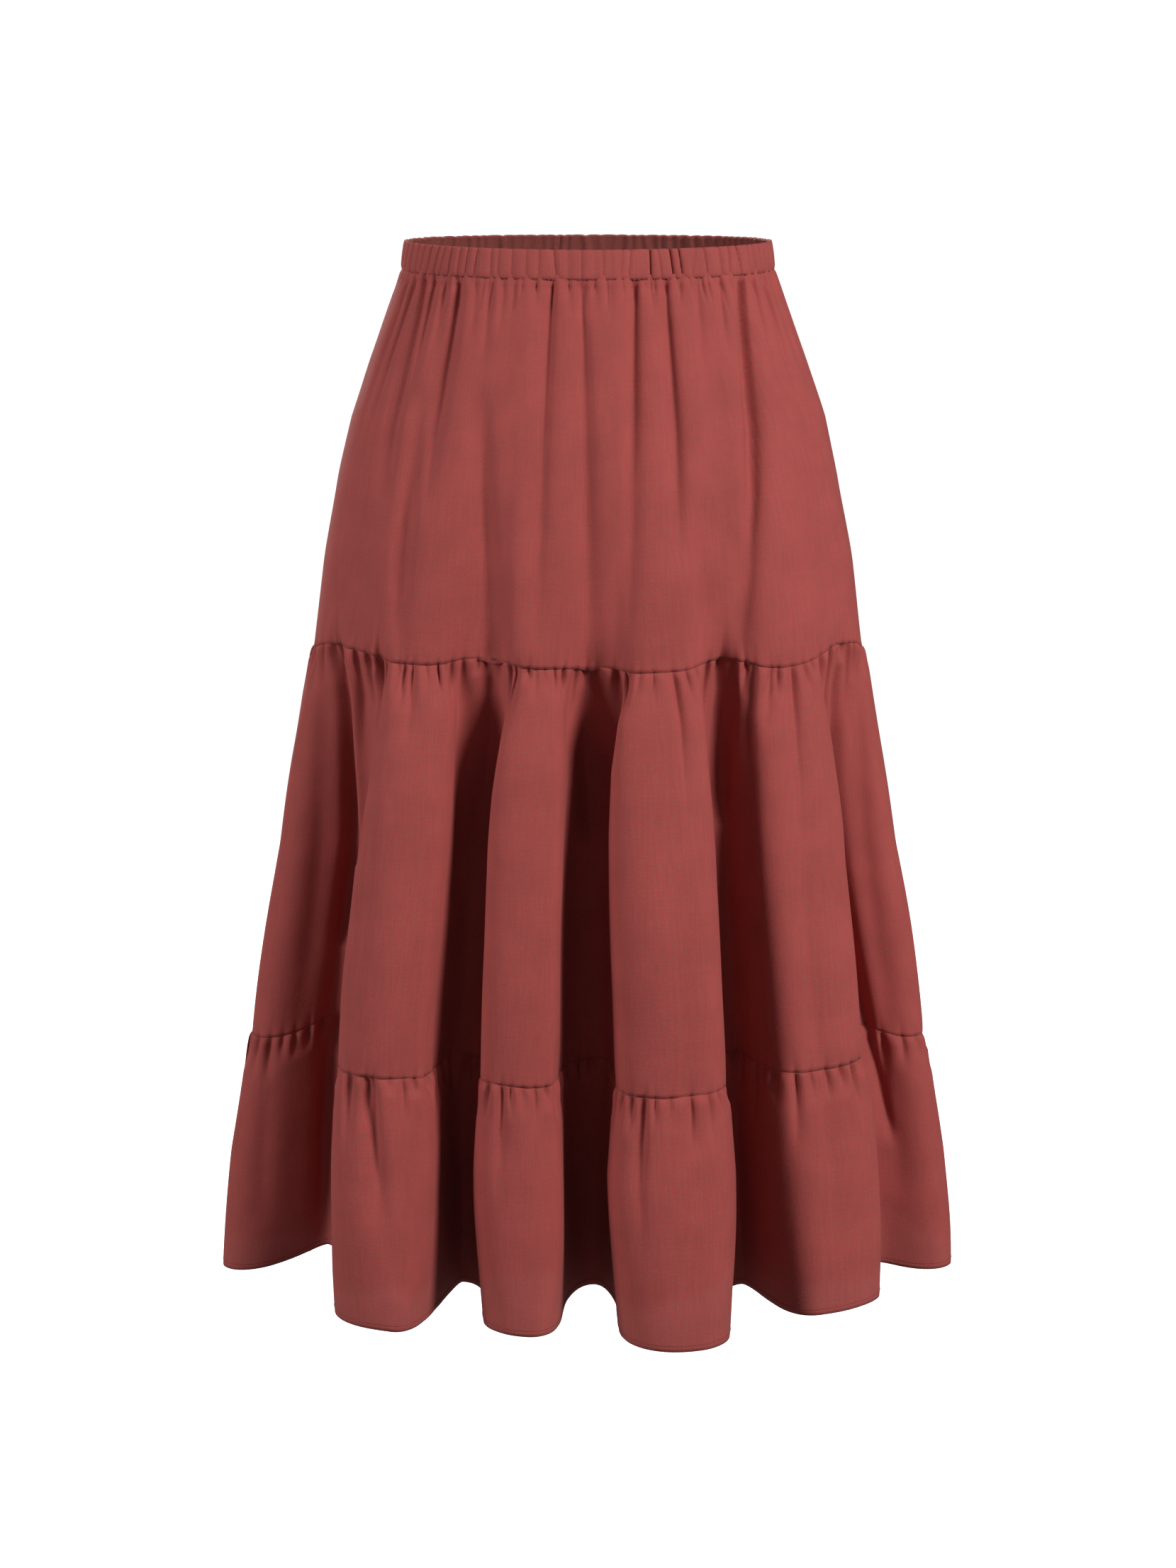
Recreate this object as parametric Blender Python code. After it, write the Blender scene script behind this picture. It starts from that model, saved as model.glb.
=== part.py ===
"""Tiered ruffle skirt, worn and hollow: elastic waistband, hip tier, gathered middle tier, gathered hem ruffle.

Metres, +Z up. The origin is the middle of the waist opening, where the wearer holds the skirt up.
The front faces -Y, and +X is the viewer's right. Each tier and the band has a front and a back piece.
"""

import math
from collections import namedtuple

import bmesh
import bpy
import numpy as np

# ---- driving sizes ---------------------------------------------------------------------------------

CLOTH = 0.0012  # wall of one layer of crepe with its seam bulk
BAND_WALL = 0.0024  # elastic with a layer of cloth on each side
SEAM_GAP = 0.0003  # clear space between two pieces at a seam

BAND_HEIGHT = 0.020
BAND_TOP_FRONT = 0.006  # height of the band's top edge over the origin, centre front
BAND_TOP_RISE = 0.004  # how much higher it is at centre back
BAND_TOP_SIDE = 0.0013  # extra height at the hips, where the band tips up
BAND_FLARE = 0.0025  # the band is this much narrower at its top edge, each side
BAND_RIB = 0.0008  # half the height of a rib of ruched casing

TIER_1_CUT = 0.2715  # cloth length of each tier, centre front
TIER_2_CUT = 0.293
TIER_3_CUT = 0.179
TIER_1_HIP = 0.0065  # tier 1 is cut this much longer over the hips
GATHER = 0.0015  # height of the coarse gathers just under a seam

COLUMNS = 52  # round each half of the skirt
BAND_COLUMNS = 44
BAND_ROWS = (0.0, 0.5, 1.0)
TIER_ROWS = (
    (0.0, 0.06, 0.18, 0.38, 0.60, 0.80, 1.0),
    (0.0, 0.07, 0.20, 0.40, 0.62, 0.82, 1.0),
    (0.0, 0.12, 0.32, 0.62, 1.0),
)

CREPE_RED = (0.300, 0.060, 0.053, 1.0)
CASING_RED = (0.285, 0.056, 0.050, 1.0)

# ---- the figure's rings: level 0 is the band's stitch line, 1 and 2 the gathered seams, 3 the hem --------

Section = namedtuple("Section", "name level half_width front_depth back_depth")
SECTIONS = (
    Section("band seam", 0.00, 0.1327, 0.098, 0.098),
    Section("under band", 0.08, 0.1400, 0.101, 0.102),
    Section("high hip", 0.24, 0.1550, 0.107, 0.110),
    Section("hip bone", 0.39, 0.1685, 0.113, 0.118),
    Section("hip", 0.54, 0.1776, 0.117, 0.124),
    Section("seat", 0.76, 0.1875, 0.118, 0.128),
    Section("first seam", 1.00, 0.1955, 0.115, 0.128),
    Section("thigh", 1.50, 0.2068, 0.110, 0.127),
    Section("second seam", 2.00, 0.2280, 0.108, 0.127),
    Section("calf", 2.50, 0.2405, 0.107, 0.127),
    Section("hem", 3.00, 0.2495, 0.106, 0.127),
)

# ---- the big folds: crests and troughs round the skirt, from its left side over the front to the back -----
# angle is round the figure in degrees, 0 at centre front. out is millimetres off the figure's ring, and give
# is millimetres of cloth more or less down the tier that ends there. wall is where the slope to the next row
# lies, from 0 at this row to 1 at the next, and steep over 1 makes that slope overhang.

Fold = namedtuple(
    "Fold", "name angle_1 out_1 give_1 angle_2 out_2 give_2 angle_3 out_3 give_3 wall steep"
)
FOLDS = (
    Fold("left side crest", -90, 2, 0.0, -90, 20, 0.0, -90, 22, 0.0, 0.60, 0.5),
    Fold("trough", -63, 4, -8.5, -66, -34, -8.0, -65, -50, -2.0, 0.62, 1.05),
    Fold("crest", -39, 8, -2.5, -36, 44, 0.5, -30.5, 58, 1.5, 0.70, 0.9),
    Fold("trough", -22, -5, -8.0, -25, -29, 2.0, -24, -50, 0.0, 0.42, 1.1),
    Fold("crest", -11, 3, -4.0, -11, 34, 2.0, -9, 44, 0.5, 0.46, 0.95),
    Fold("trough", 2, -6, -3.0, 1, -40, 1.0, 1, -62, 0.0, 0.22, 1.15),
    Fold("crest", 15, 8, -1.0, 16, 45, 6.0, 15, 60, 2.0, 0.57, 1.05),
    Fold("trough", 30, -3, -6.0, 30, -30, -1.0, 30, -50, 4.0, 0.27, 0.7),
    Fold("crest", 44, 9, 1.0, 39, 33, -4.5, 39, 34, 0.0, 0.53, 1.0),
    Fold("trough", 66, 4, -8.0, 70, -24, -2.0, 72, -30, 3.0, 0.45, 0.5),
    Fold("right side crest", 91, 2, 0.0, 92, 20, 0.0, 92, 22, 0.0, 0.55, 0.6),
    Fold("trough", 110, -3, -3.0, 113, -26, 0.0, 112, -38, 0.0, 0.42, 0.8),
    Fold("crest", 126, 5, -1.0, 128, 32, 1.0, 129, 40, 1.0, 0.60, 1.0),
    Fold("trough", 139, -4, -3.0, 141, -33, 1.0, 142, -50, 0.0, 0.36, 1.0),
    Fold("crest", 153, 6, 0.0, 154, 38, 2.0, 154, 50, 1.0, 0.60, 0.7),
    Fold("trough", 168, -5, -3.0, 167, -36, 1.0, 168, -54, 0.0, 0.42, 1.0),
    Fold("crest", 181, 4, -1.0, 180, 30, 1.0, 181, 42, 0.0, 0.62, 1.1),
    Fold("trough", 194, -5, -4.0, 195, -38, 1.0, 194, -58, 1.0, 0.34, 0.8),
    Fold("crest", 208, 7, 0.0, 207, 42, 3.0, 208, 54, 2.0, 0.60, 1.05),
    Fold("trough", 222, -4, -3.0, 221, -30, 0.0, 222, -46, 0.0, 0.38, 0.7),
    Fold("crest", 236, 5, -1.0, 238, 30, 1.0, 238, 38, 0.0, 0.58, 1.0),
    Fold("trough", 252, -2, -4.0, 253, -24, -1.0, 253, -34, -2.0, 0.50, 0.6),
)
FRONT_START, FRONT_END = 0, 10  # rows of FOLDS that the side seams follow
SPREAD = (2.4, 1.3)  # how early in tiers 2 and 3 a fold grows to its full depth
TIER_1_START = 0.25  # tier 1 hangs plain down to here, and then takes the folds' waves

# How much of wall and steep the folds take down the skirt: drawn in at each gathered seam, billowing below.
Firmness = namedtuple("Firmness", "level firm")
FIRMNESS = (
    Firmness(0.0, 0.3),
    Firmness(1.0, 0.4),
    Firmness(1.12, 0.85),
    Firmness(1.4, 1.0),
    Firmness(2.0, 0.9),
    Firmness(2.35, 1.05),
    Firmness(3.0, 0.8),
)

# ---- the hip tier's own long soft troughs and one ridge; angles at their upper and lower ends --------------
# start and end are levels, depth and width are millimetres, and a negative depth is a ridge.

Crease = namedtuple("Crease", "upper lower start end depth width")
CREASES = (
    Crease(-62, -52, 0.02, 0.62, 3.0, 8),
    Crease(-44, -39, 0.04, 0.60, 3.0, 8),
    Crease(-50, -43, 0.45, 0.98, 3.5, 13),
    Crease(-30, -20, 0.45, 1.00, 4.5, 11),
    Crease(-10, -11, 0.05, 0.80, 2.5, 8),
    Crease(-2, 1, 0.02, 1.00, 3.0, 9),
    Crease(13, 8, 0.04, 0.92, 3.0, 9),
    Crease(24, 20, 0.05, 0.50, 2.5, 8),
    Crease(39, 30, 0.10, 0.55, 2.5, 10),
    Crease(57, 37, 0.02, 0.92, 5.0, 12),
    Crease(104, 100, 0.04, 0.60, 3.0, 9),
    Crease(122, 126, 0.05, 0.85, 3.5, 11),
    Crease(141, 143, 0.02, 0.70, 3.0, 9),
    Crease(158, 156, 0.08, 0.98, 3.5, 11),
    Crease(176, 178, 0.03, 0.75, 3.0, 9),
    Crease(193, 196, 0.05, 1.00, 4.0, 12),
    Crease(214, 211, 0.02, 0.65, 3.0, 9),
    Crease(233, 236, 0.06, 0.90, 3.5, 11),
    Crease(252, 249, 0.03, 0.55, 2.5, 8),
)


# ---- the form of the cloth ---------------------------------------------------------------------------------


def smooth_step(value):
    value = np.clip(value, 0.0, 1.0)
    return value * value * (3.0 - 2.0 * value)


def column_of(field):
    return np.array([getattr(fold, field) for fold in FOLDS], float)


def between(first, second, third, level):
    """A fold's value down the skirt, from its values at the two gathered seams and at the hem."""
    upper = 1.0 - (1.0 - np.clip(level - 1.0, 0.0, 1.0)) ** SPREAD[0]
    lower = 1.0 - (1.0 - np.clip(level - 2.0, 0.0, 1.0)) ** SPREAD[1]
    return first + (second - first) * upper + (third - second) * lower


def folds_at(turn, level):
    """Angle in radians and out in metres: a row for each level, a column for each place round the skirt."""
    level = np.asarray(level, float).reshape(-1, 1)
    turn = np.asarray(turn, float)
    angles = between(column_of("angle_1"), column_of("angle_2"), column_of("angle_3"), level)
    waves = smooth_step((level - TIER_1_START) / (1.0 - TIER_1_START))
    outs = between(column_of("out_1") * waves, column_of("out_2"), column_of("out_3"), level)
    here = np.floor(turn).astype(int) % len(FOLDS)
    after = (here + 1) % len(FOLDS)
    step = turn - np.floor(turn)
    firm = np.interp(level, [row.level for row in FIRMNESS], [row.firm for row in FIRMNESS])
    lean = 4.0 * (column_of("wall")[here] - 0.5) * firm * step * (1.0 - step)
    steep = column_of("steep")[here] * firm
    across = step + steep * np.sin(2.0 * np.pi * step) / (2.0 * np.pi) + lean
    span = (angles[:, after] - angles[:, here]) % 360.0
    angle = np.radians(angles[:, here] + span * across)
    out = outs[:, here] + (outs[:, after] - outs[:, here]) * (1.0 - np.cos(np.pi * step)) / 2.0
    return angle, out / 1000.0


def cut_lengths(turn):
    """Cloth length of each tier round the skirt: three rows."""
    angle, _ = folds_at(turn, 1.0)
    here = np.floor(turn).astype(int) % len(FOLDS)
    after = (here + 1) % len(FOLDS)
    rise = (1.0 - np.cos(np.pi * (turn - np.floor(turn)))) / 2.0
    plain = (TIER_1_CUT + TIER_1_HIP * np.sin(angle[0]) ** 2, TIER_2_CUT, TIER_3_CUT)
    lengths = []
    for tier_cut, field in zip(plain, ("give_1", "give_2", "give_3")):
        give = column_of(field) / 1000.0
        lengths.append(tier_cut + give[here] + (give[after] - give[here]) * rise)
    return np.stack(lengths)


def ring(angle, out, level):
    """Points at an angle round the figure, pushed out from its ring at that level."""
    levels = [section.level for section in SECTIONS]
    half_width = np.interp(level, levels, [section.half_width for section in SECTIONS])
    front = np.interp(level, levels, [section.front_depth for section in SECTIONS])
    back = np.interp(level, levels, [section.back_depth for section in SECTIONS])
    depth = np.where(np.cos(angle) > 0.0, front, back)
    normal_x = np.sin(angle) / half_width
    normal_y = -np.cos(angle) / depth
    length = np.hypot(normal_x, normal_y)
    x = half_width * np.sin(angle) + out * normal_x / length
    y = -depth * np.cos(angle) + out * normal_y / length
    return x, y


def crease_depth(angle, level):
    """How far the hip tier's own troughs pull the cloth in."""
    girth = np.interp(level, (0.0, 0.5, 1.0), (0.115, 0.150, 0.160))
    total = np.zeros(np.broadcast(angle, level).shape)
    for crease in CREASES:
        along = np.clip((level - crease.start) / (crease.end - crease.start), 0.0, 1.0)
        centre = np.radians(crease.upper + (crease.lower - crease.upper) * along)
        off = (angle - centre + np.pi) % (2.0 * np.pi) - np.pi
        fade = np.sin(np.pi * along) ** 0.6
        total += crease.depth * fade * np.exp(-((off * girth * 1000.0 / crease.width) ** 2))
    return total / 1000.0


def plan(turn, level):
    """Where the cloth stands seen from above."""
    level = np.asarray(level, float).reshape(-1, 1)
    angle, out = folds_at(turn, level)
    out = out - np.where(level < 1.0, crease_depth(angle, np.minimum(level, 1.0)), 0.0)
    return ring(angle, out, level)


def band_top(angle):
    """Height of the band's top edge, which tips up to the back and over the hips."""
    return (
        BAND_TOP_FRONT
        + BAND_TOP_RISE * (1.0 - np.cos(angle)) / 2.0
        + BAND_TOP_SIDE * np.sin(angle) ** 2
    )


def cloth(turns, levels):
    """Points of the hanging cloth, a row for each level: each thread keeps the length that it was cut to."""
    steps = 40
    fine = np.linspace(0.0, 3.0, 3 * steps + 1)
    turns = np.asarray(turns, float)
    levels = np.asarray(levels, float)
    x, y = plan(turns, fine)
    tier = np.repeat([0, 1, 2], steps)
    length = cut_lengths(turns)[tier] / steps
    travel = np.hypot(np.diff(x, axis=0), np.diff(y, axis=0))
    fall = np.sqrt(np.maximum(length**2 - travel**2, (0.3 * length) ** 2))
    start = band_top(folds_at(turns, 0.0)[0]) - BAND_HEIGHT
    heights = np.concatenate([start, start - np.cumsum(fall, axis=0)])
    x, y = plan(turns, levels)
    z = np.stack([np.interp(levels, fine, column) for column in heights.T], axis=1)
    return np.stack([x, y, z], axis=-1)


# ---- places of the columns round each half -----------------------------------------------------------------


def even_turns(first, last, columns):
    """Places round the skirt that are evenly far apart along the second seam."""
    fine = np.linspace(first, last, 1200)
    x, y = plan(fine, 2.0)
    along = np.concatenate([[0.0], np.cumsum(np.hypot(np.diff(x[0]), np.diff(y[0])))])
    return np.interp(np.linspace(0.0, along[-1], columns + 1), along, fine)


def clear_of_seams(points):
    """Draws each border in by half of the gap at a seam."""
    points = points.copy()
    borders = (
        ((0, slice(None)), (1, slice(None))),
        ((-1, slice(None)), (-2, slice(None))),
        ((slice(None), 0), (slice(None), 1)),
        ((slice(None), -1), (slice(None), -2)),
    )
    for border, inner in borders:
        inward = points[inner] - points[border]
        inward /= np.linalg.norm(inward, axis=-1, keepdims=True)
        points[border] += inward * SEAM_GAP / 2.0
    return points


# ---- solids ------------------------------------------------------------------------------------------------


def fabric(name, colour, roughness):
    material = bpy.data.materials.new(name)
    material.use_nodes = True
    shader = material.node_tree.nodes["Principled BSDF"]
    shader.inputs["Base Color"].default_value = colour
    shader.inputs["Roughness"].default_value = roughness
    shader.inputs["Metallic"].default_value = 0.0
    material.diffuse_color = colour
    return material


def wall(name, points, normals, thickness, material):
    """One piece of cloth: a grid extruded to a closed slab, then laid along rows of points and their normals."""
    rows, columns = points.shape[:2]
    mesh = bpy.data.meshes.new(name)
    build = bmesh.new()
    grid = bmesh.ops.create_grid(build, x_segments=columns - 1, y_segments=rows - 1, size=0.5)
    under = set(grid["verts"])
    bmesh.ops.extrude_face_region(build, geom=build.faces[:], use_keep_orig=True)
    for vert in build.verts:
        column = round((vert.co.x + 0.5) * (columns - 1))
        row = round((0.5 - vert.co.y) * (rows - 1))
        side = -0.5 if vert in under else 0.5
        vert.co = points[row, column] + normals[row, column] * thickness * side
    bmesh.ops.recalc_face_normals(build, faces=build.faces[:])
    build.to_mesh(mesh)
    build.free()
    mesh.shade_smooth()
    mesh.set_sharp_from_angle(angle=math.radians(60))
    mesh.materials.append(material)
    piece = bpy.data.objects.new(name, mesh)
    bpy.context.scene.collection.objects.link(piece)
    return piece


def outward(turns, levels):
    """Unit normals of the cloth, the same on both sides of a seam."""
    turns = np.asarray(turns)
    levels = np.asarray(levels)
    turn_step, level_step = 0.02, 0.02
    across = cloth(turns + turn_step, levels) - cloth(turns - turn_step, levels)
    lower = cloth(turns, np.minimum(levels + level_step, 3.0))
    upper = cloth(turns, np.maximum(levels - level_step, 0.0))
    normals = np.cross(lower - upper, across)
    return normals / np.linalg.norm(normals, axis=-1, keepdims=True)


def gathers(rows, columns):
    """Coarse gathers: every second column stands out just under the seam, and fades down the tier."""
    rows = np.asarray(rows)[:, None]
    strength = np.where(rows > 0.0, np.exp(-(((rows - 0.07) / 0.16) ** 2)), 0.0)
    sign = np.where(np.arange(columns + 1) % 2 == 0, -1.0, 1.0)
    sign[[0, -1]] = 0.0
    return GATHER * strength * sign[None, :]


def tier(name, number, first, last, material):
    rows = TIER_ROWS[number - 1]
    turns = even_turns(first, last, COLUMNS)
    levels = np.array([number - 1 + row for row in rows])
    normals = outward(turns, levels)
    points = cloth(turns, levels) + normals * gathers(rows, COLUMNS)[..., None]
    return wall(name, clear_of_seams(points), normals, CLOTH, material)


def waistband(name, first, last, material):
    """A ring that follows the tier's top edge, with a rib on every second column."""
    angle = folds_at(even_turns(first, last, BAND_COLUMNS), 0.0)[0][0]
    rib = np.where(np.arange(BAND_COLUMNS + 1) % 2 == 0, -BAND_RIB, BAND_RIB)
    rib[[0, -1]] = 0.0
    x, y = ring(angle, 0.0, 0.0)
    further_x, further_y = ring(angle, 1.0, 0.0)
    normal = np.stack([further_x - x, further_y - y, np.zeros_like(x)], axis=-1)
    points = []
    for down in BAND_ROWS:
        x, y = ring(angle, rib * math.sin(math.pi * down) - BAND_FLARE * (1.0 - down), 0.0)
        points.append(np.stack([x, y, band_top(angle) - BAND_HEIGHT * down], axis=-1))
    normals = np.stack([normal] * len(BAND_ROWS))
    return wall(name, clear_of_seams(np.stack(points)), normals, BAND_WALL, material)


def build_skirt():
    for thing in list(bpy.data.objects):
        bpy.data.objects.remove(thing, do_unlink=True)
    halves = (("front", FRONT_START, FRONT_END), ("back", FRONT_END, len(FOLDS)))
    for half, first, last in halves:
        waistband(f"waistband_{half}", first, last, fabric(f"{half} casing", CASING_RED, 0.85))
        for number in (1, 2, 3):
            crepe = fabric(f"{half} crepe {number}", CREPE_RED, 0.85)
            tier(f"tier_{number}_{half}", number, first, last, crepe)


build_skirt()
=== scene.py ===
"""Looks of the tiered ruffle skirt: shells of brick-red crepe with their gathers, band, hem and stitches."""

import math
import random
from collections import namedtuple

import bmesh
import bpy
import numpy as np
from mathutils import Matrix, Vector, noise


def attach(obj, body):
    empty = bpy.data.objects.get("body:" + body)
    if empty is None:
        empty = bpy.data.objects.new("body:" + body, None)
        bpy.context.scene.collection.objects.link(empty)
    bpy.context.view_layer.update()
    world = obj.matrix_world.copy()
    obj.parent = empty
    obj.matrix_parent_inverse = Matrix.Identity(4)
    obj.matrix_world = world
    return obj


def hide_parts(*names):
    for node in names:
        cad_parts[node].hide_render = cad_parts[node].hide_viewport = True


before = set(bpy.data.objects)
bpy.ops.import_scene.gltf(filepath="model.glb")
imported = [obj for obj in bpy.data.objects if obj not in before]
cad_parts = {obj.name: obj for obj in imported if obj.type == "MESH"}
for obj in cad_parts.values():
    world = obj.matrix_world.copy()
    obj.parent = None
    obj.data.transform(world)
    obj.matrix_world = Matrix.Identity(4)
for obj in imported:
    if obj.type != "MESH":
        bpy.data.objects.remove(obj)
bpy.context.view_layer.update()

# ---- driving sizes, in metres ------------------------------------------------------------------------------

CREPE = 0.0005  # one layer of crepe
CASING = 0.0022  # elastic with a layer of crepe on each side
BAND_HEIGHT = 0.020
BAND_TOP_FRONT = 0.006  # height of the band's top edge in front, its rise to the back and over the hips
BAND_TOP_RISE = 0.004
BAND_TOP_SIDE = 0.0013
BAND_FLARE = 0.0025  # how far the band's top edge leans in from its foot
TIER_1_CUT = 0.2715
TIER_2_CUT = 0.293
TIER_3_CUT = 0.179
TIER_1_HIP = 0.0065  # the hip tier's added length over each hip
BAND_TUCK = 0.003  # how far the hip tier reaches up behind the band
TUCK = 0.006  # how far a tier's gathered top reaches up behind the tier above
TUCK_IN = 0.0018  # how far behind it lies
SEAM_STEP = 0.0004  # how far a tier's face starts behind the tier above
HEM_FOLD = 0.0045  # depth of the narrow hem

FLAT_WIDTHS = {1: 1.10, 2: 2.02, 3: 2.62}  # cut width of each whole tier
PUFF = {2: 0.0014, 3: 0.0012}  # how far the gathers stand out below their seam
BILLOW = {2: 0.0020, 3: 0.0030}  # how far the middle of the tier stands out
SEAM_PINCH = 0.0008  # how far the cloth dips in at the band's foot and at the side seams

# soft unevenness of the cloth: a broad one and a fine one, each with its size and how far it goes in or out
BROAD_SIZE = 0.05
BROAD_FLUTTER = {1: 0.0008, 2: 0.0016, 3: 0.0016}
FINE_SIZE = 0.022
FINE_FLUTTER = 0.0006

Stitching = namedtuple("Stitching", "length gap radius")
HEM_STITCHING = Stitching(0.0021, 0.0010, 0.00022)
BAND_STITCHING = Stitching(0.0017, 0.0015, 0.00028)

# ---- the figure's rings, the big folds, and how firm they are: the same as the solids' ---------------------
# level counts the seams: 0 at the band's foot, 1 and 2 at the gathered seams, 3 at the hem. A fold's angle is
# in degrees round the skirt from the middle of its front, out is millimetres out from the ring, and give is
# millimetres of cloth more or less in the tier that ends there. wall is where the slope to the next row
# stands, from 0 to 1, and steep is how upright it is.

Section = namedtuple("Section", "name level half_width front_depth back_depth")
SECTIONS = (
    Section("band seam", 0.00, 0.1327, 0.098, 0.098),
    Section("under band", 0.08, 0.1400, 0.101, 0.102),
    Section("high hip", 0.24, 0.1550, 0.107, 0.110),
    Section("hip bone", 0.39, 0.1685, 0.113, 0.118),
    Section("hip", 0.54, 0.1776, 0.117, 0.124),
    Section("seat", 0.76, 0.1875, 0.118, 0.128),
    Section("first seam", 1.00, 0.1955, 0.115, 0.128),
    Section("thigh", 1.50, 0.2068, 0.110, 0.127),
    Section("second seam", 2.00, 0.2280, 0.108, 0.127),
    Section("calf", 2.50, 0.2405, 0.107, 0.127),
    Section("hem", 3.00, 0.2495, 0.106, 0.127),
)
Fold = namedtuple(
    "Fold", "name angle_1 out_1 give_1 angle_2 out_2 give_2 angle_3 out_3 give_3 wall steep"
)
FOLDS = (
    Fold("left side crest", -90, 2, 0.0, -90, 20, 0.0, -90, 22, 0.0, 0.60, 0.5),
    Fold("trough", -63, 4, -8.5, -66, -34, -8.0, -65, -50, -2.0, 0.62, 1.05),
    Fold("crest", -39, 8, -2.5, -36, 44, 0.5, -30.5, 58, 1.5, 0.70, 0.9),
    Fold("trough", -22, -5, -8.0, -25, -29, 2.0, -24, -50, 0.0, 0.42, 1.1),
    Fold("crest", -11, 3, -4.0, -11, 34, 2.0, -9, 44, 0.5, 0.46, 0.95),
    Fold("trough", 2, -6, -3.0, 1, -40, 1.0, 1, -62, 0.0, 0.22, 1.15),
    Fold("crest", 15, 8, -1.0, 16, 45, 6.0, 15, 60, 2.0, 0.57, 1.05),
    Fold("trough", 30, -3, -6.0, 30, -30, -1.0, 30, -50, 4.0, 0.27, 0.7),
    Fold("crest", 44, 9, 1.0, 39, 33, -4.5, 39, 34, 0.0, 0.53, 1.0),
    Fold("trough", 66, 4, -8.0, 70, -24, -2.0, 72, -30, 3.0, 0.45, 0.5),
    Fold("right side crest", 91, 2, 0.0, 92, 20, 0.0, 92, 22, 0.0, 0.55, 0.6),
    Fold("trough", 110, -3, -3.0, 113, -26, 0.0, 112, -38, 0.0, 0.42, 0.8),
    Fold("crest", 126, 5, -1.0, 128, 32, 1.0, 129, 40, 1.0, 0.60, 1.0),
    Fold("trough", 139, -4, -3.0, 141, -33, 1.0, 142, -50, 0.0, 0.36, 1.0),
    Fold("crest", 153, 6, 0.0, 154, 38, 2.0, 154, 50, 1.0, 0.60, 0.7),
    Fold("trough", 168, -5, -3.0, 167, -36, 1.0, 168, -54, 0.0, 0.42, 1.0),
    Fold("crest", 181, 4, -1.0, 180, 30, 1.0, 181, 42, 0.0, 0.62, 1.1),
    Fold("trough", 194, -5, -4.0, 195, -38, 1.0, 194, -58, 1.0, 0.34, 0.8),
    Fold("crest", 208, 7, 0.0, 207, 42, 3.0, 208, 54, 2.0, 0.60, 1.05),
    Fold("trough", 222, -4, -3.0, 221, -30, 0.0, 222, -46, 0.0, 0.38, 0.7),
    Fold("crest", 236, 5, -1.0, 238, 30, 1.0, 238, 38, 0.0, 0.58, 1.0),
    Fold("trough", 252, -2, -4.0, 253, -24, -1.0, 253, -34, -2.0, 0.50, 0.6),
)
FRONT_START, FRONT_END = 0, 10  # the rows of FOLDS at the two side seams
SPREAD = (2.4, 1.3)  # how soon the folds open below each gathered seam
TIER_1_START = 0.25  # the level where the big folds first show
# how much of wall and steep the folds take down the skirt: drawn in at each gathered seam, billowing below
Firmness = namedtuple("Firmness", "level firm")
FIRMNESS = (
    Firmness(0.0, 0.3),
    Firmness(1.0, 0.4),
    Firmness(1.12, 0.85),
    Firmness(1.4, 1.0),
    Firmness(2.0, 0.9),
    Firmness(2.35, 1.05),
    Firmness(3.0, 0.8),
)

# ---- creases -----------------------------------------------------------------------------------------------
# upper and lower say where a crease's two ends are. On the hip tier they are degrees round the skirt, and on
# the two lower tiers they are counted in rows of FOLDS. start and end are levels. depth and width are
# millimetres, and a negative depth is a ridge. lean is above 0 where the right side of the crease is the
# wider one. A gather springs from a seam, and a soft fold fades at both ends.

Crease = namedtuple("Crease", "upper lower start end depth width")
HIP_FOLDS = (
    Crease(-62, -52, 0.02, 0.62, 3.0, 8),
    Crease(-44, -39, 0.04, 0.60, 3.0, 8),
    Crease(-46.5, -41.5, 0.28, 0.98, 4.5, 7),
    Crease(-28.5, -20, 0.28, 1.04, 6.0, 7),
    Crease(-10, -11, 0.05, 0.95, 3.6, 8),
    Crease(-3, 1, 0.10, 1.02, 3.6, 8),
    Crease(14.5, 7, 0.04, 1.00, 4.2, 8),
    Crease(24, 19.5, 0.05, 0.72, 3.6, 7),
    Crease(39, 30, 0.10, 0.55, 2.5, 10),
    Crease(55.5, 33, 0.02, 0.98, 5.0, 8),
    Crease(104, 100, 0.04, 0.60, 3.0, 9),
    Crease(122, 126, 0.05, 0.85, 3.5, 11),
    Crease(141, 143, 0.02, 0.70, 3.0, 9),
    Crease(158, 156, 0.08, 0.98, 3.5, 11),
    Crease(176, 178, 0.03, 0.75, 3.0, 9),
    Crease(193, 196, 0.05, 1.00, 4.0, 12),
    Crease(214, 211, 0.02, 0.65, 3.0, 9),
    Crease(233, 236, 0.06, 0.90, 3.5, 11),
    Crease(252, 249, 0.03, 0.55, 2.5, 8),
)
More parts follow.
